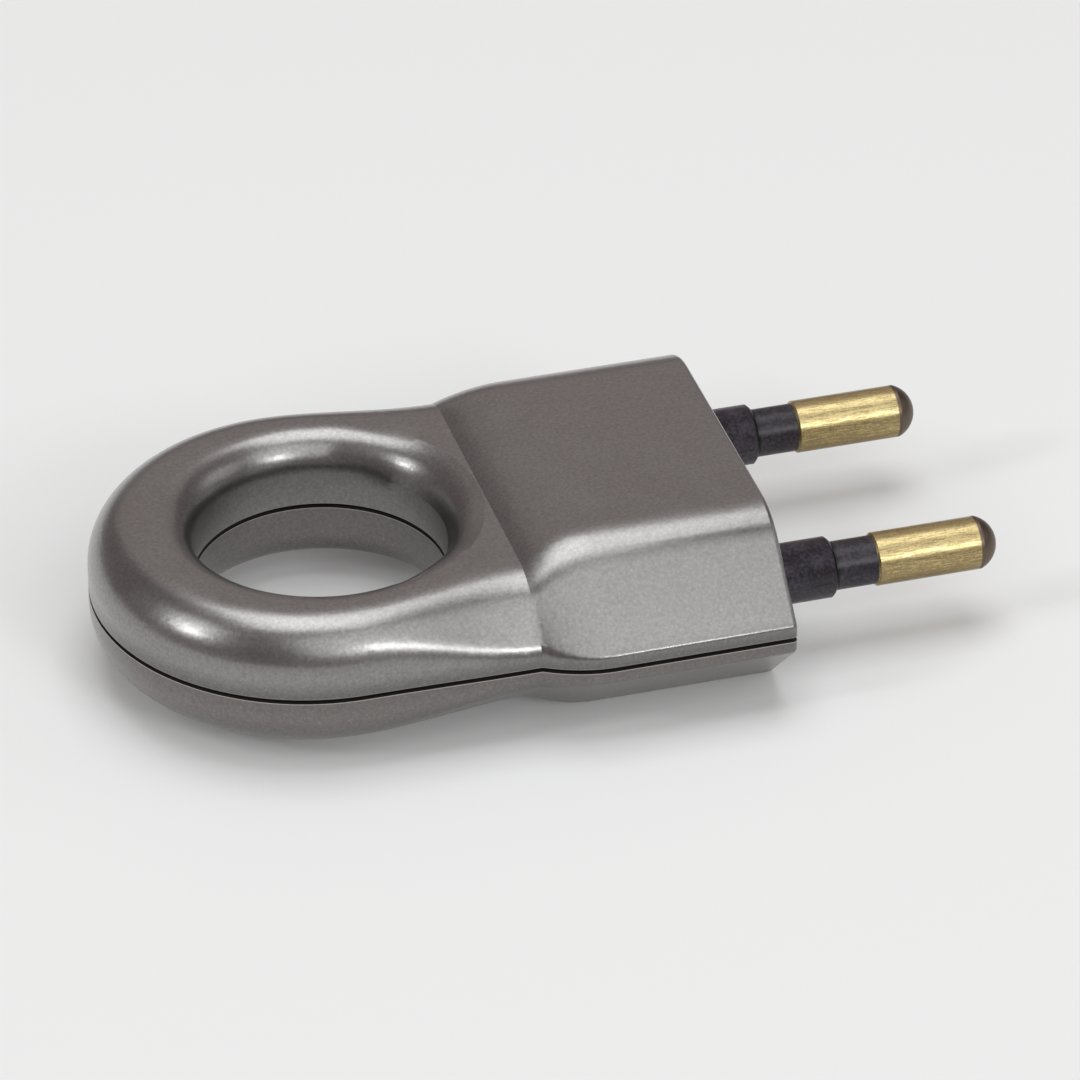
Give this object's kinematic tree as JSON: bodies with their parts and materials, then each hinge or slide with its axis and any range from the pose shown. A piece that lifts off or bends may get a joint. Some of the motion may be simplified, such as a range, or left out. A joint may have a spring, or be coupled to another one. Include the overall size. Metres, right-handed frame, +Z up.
{
  "type": "two-pin plug",
  "caption": "Flat mains plug with a finger ring, moulded as an upper and a lower shell, with sleeved brass pins and a cord inlet.",
  "frame": {"origin": "middle of the engagement face, on the plane of the pins' axes, which is also the parting plane of the housing", "axes": "+X out along the pins, away from the finger ring; +Y towards the left pin, on the side of the cord inlet; +Z up, towards the upper shell"},
  "size_m": [0.0665, 0.036, 0.0137],
  "materials": {
    "housing": "satin warm grey metallic lacquer on moulded plastic",
    "pin_brass": "drawn and turned, satin",
    "sleeve": "satin black",
    "screw_steel": "zinc plated"
  },
  "bodies": {
    "root": {"upper_shell": "housing", "lower_shell": "housing", "left_pin": "pin_brass", "right_pin": "pin_brass", "left_pin_sleeve": "sleeve", "right_pin_sleeve": "sleeve", "terminal_screws": "screw_steel", "housing_screws": "screw_steel"}
  },
  "joints": []
}
